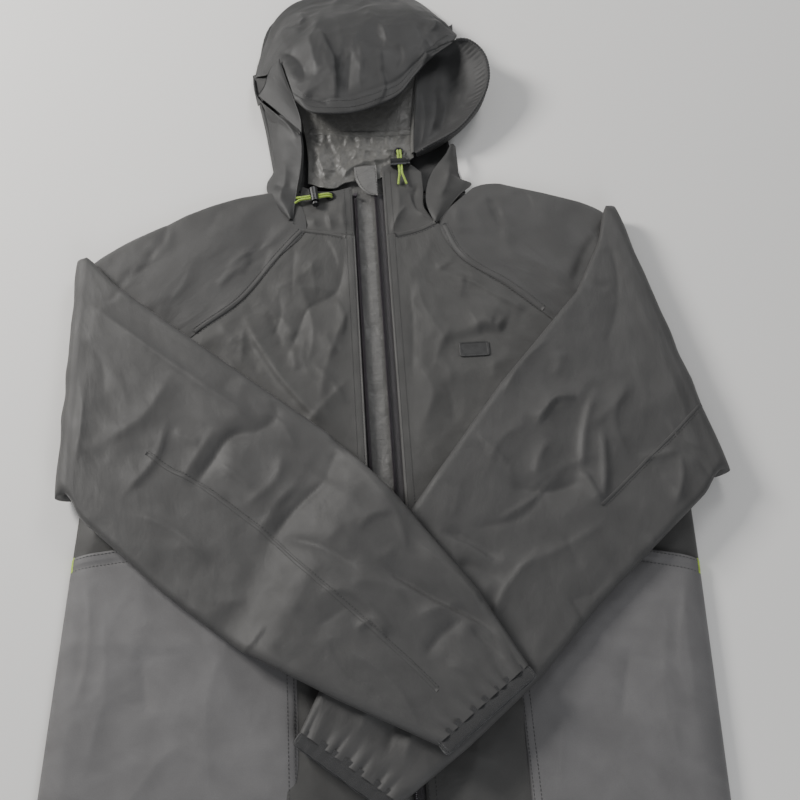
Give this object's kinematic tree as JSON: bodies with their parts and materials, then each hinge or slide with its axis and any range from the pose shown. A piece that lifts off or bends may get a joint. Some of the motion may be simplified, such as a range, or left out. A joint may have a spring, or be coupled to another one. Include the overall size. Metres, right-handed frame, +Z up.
{
  "type": "hardshell jacket",
  "caption": "Hooded zip-front shell jacket laid flat on its back, unzipped, sleeves folded over the front, with patch pockets, elastic cuffs and hood cord locks.",
  "frame": {"origin": "on the back panel's underside, midway between the side seams and 345 mm above the hem seam", "axes": "+Y from the hem to the hood, +Z up from the surface that the jacket lies on, +X towards the wearer's left"},
  "size_m": [0.64, 0.981, 0.0461],
  "materials": {
    "shell": "thin plain-weave nylon, faint crinkle, low sheen",
    "pocket": "lighter plain-weave nylon, low sheen",
    "sleeve": "thin plain-weave nylon, low sheen",
    "hood": "thin plain-weave nylon, low sheen",
    "ripstop": "thin pale ripstop, crinkled",
    "elastic": "knitted elastic binding",
    "zip_tape": "woven tape",
    "zip_plastic": "moulded coil",
    "zip_metal": "satin black enamel",
    "eyelet_metal": "satin black enamel",
    "lock_plastic": "moulded black plastic",
    "spring_steel": "bright wire",
    "neon_cord": "braided neon yellow-green cord",
    "neon_thread": "neon yellow-green thread",
    "badge": "tonal heat-bonded film"
  },
  "bodies": {
    "root": {"back_panel": "shell", "right_front_panel": "shell", "left_front_panel": "shell", "right_neck_panel": "shell", "left_neck_panel": "shell", "right_pocket_panel": "pocket", "left_pocket_panel": "pocket", "right_upper_sleeve_under": "sleeve", "right_upper_sleeve_top": "sleeve", "left_upper_sleeve_under": "sleeve", "left_upper_sleeve_top": "sleeve", "left_forearm_under": "sleeve", "left_forearm_top": "sleeve", "left_cuff_binding": "elastic", "hem_binding_back": "elastic", "right_front_hem": "elastic", "left_front_hem": "elastic", "hood_binding": "elastic", "hood_back": "hood", "hood_crown": "hood", "right_hood_side": "hood", "left_hood_side": "hood", "hood_lining": "ripstop", "storm_flap": "ripstop", "zip_garage": "ripstop", "right_zip_tape": "zip_tape", "left_zip_tape": "zip_tape", "right_zip_teeth": "zip_plastic", "left_zip_teeth": "zip_plastic", "right_top_stop": "zip_plastic", "left_top_stop": "zip_plastic", "zip_pin": "zip_plastic", "zip_box": "zip_plastic", "right_eyelet": "eyelet_metal", "left_eyelet": "eyelet_metal", "right_cord_a": "neon_cord", "right_cord_b": "neon_cord", "left_cord_a": "neon_cord", "left_cord_b": "neon_cord", "right_pocket_tack": "neon_thread", "left_pocket_tack": "neon_thread", "chest_badge": "badge"},
    "right_forearm": {"right_forearm_under": "sleeve", "right_forearm_top": "sleeve", "right_cuff_binding": "elastic"},
    "zip_slider": {"zip_slider": "zip_metal"},
    "zip_pull": {"zip_pull": "zip_metal"},
    "right_lock": {"right_lock_barrel": "lock_plastic", "right_lock_spring": "spring_steel"},
    "right_plunger": {"right_lock_plunger": "lock_plastic"},
    "left_lock": {"left_lock_barrel": "lock_plastic", "left_lock_spring": "spring_steel"},
    "left_plunger": {"left_lock_plunger": "lock_plastic"}
  },
  "joints": [
    {"name": "right_sleeve_fold", "type": "hinge", "parent": "root", "child": "right_forearm", "pos_m": [-0.32, 0.244, 0.0199], "axis": [0.0501, -0.9987, 0], "range_deg": [0, 172]},
    {"name": "zip_travel", "type": "slide", "parent": "root", "child": "zip_slider", "axis": [-0.0645, 0.9979, 0], "range_m": [0, 0.672]},
    {"name": "zip_pull_flip", "type": "hinge", "parent": "zip_slider", "child": "zip_pull", "pos_m": [0.02782, -0.34282, 0.0152], "axis": [-0.9979, -0.0645, 0], "range_deg": [0, 175]},
    {"name": "right_lock_travel", "type": "slide", "parent": "root", "child": "right_lock", "axis": [-0.9848, -0.1736, 0], "range_m": [0, 0.01]},
    {"name": "right_lock_press", "type": "slide", "parent": "right_lock", "child": "right_plunger", "axis": [-0.1736, 0.9848, 0], "range_m": [0, 0.002], "stiffness_N_per_m": 100, "springref_m": -0.003, "deforming": ["right_lock_spring"]},
    {"name": "left_lock_travel", "type": "slide", "parent": "root", "child": "left_lock", "axis": [0.0698, -0.9976, 0], "range_m": [0, 0.01]},
    {"name": "left_lock_press", "type": "slide", "parent": "left_lock", "child": "left_plunger", "axis": [-0.9976, -0.0698, 0], "range_m": [0, 0.002], "stiffness_N_per_m": 100, "springref_m": -0.003, "deforming": ["left_lock_spring"]}
  ]
}
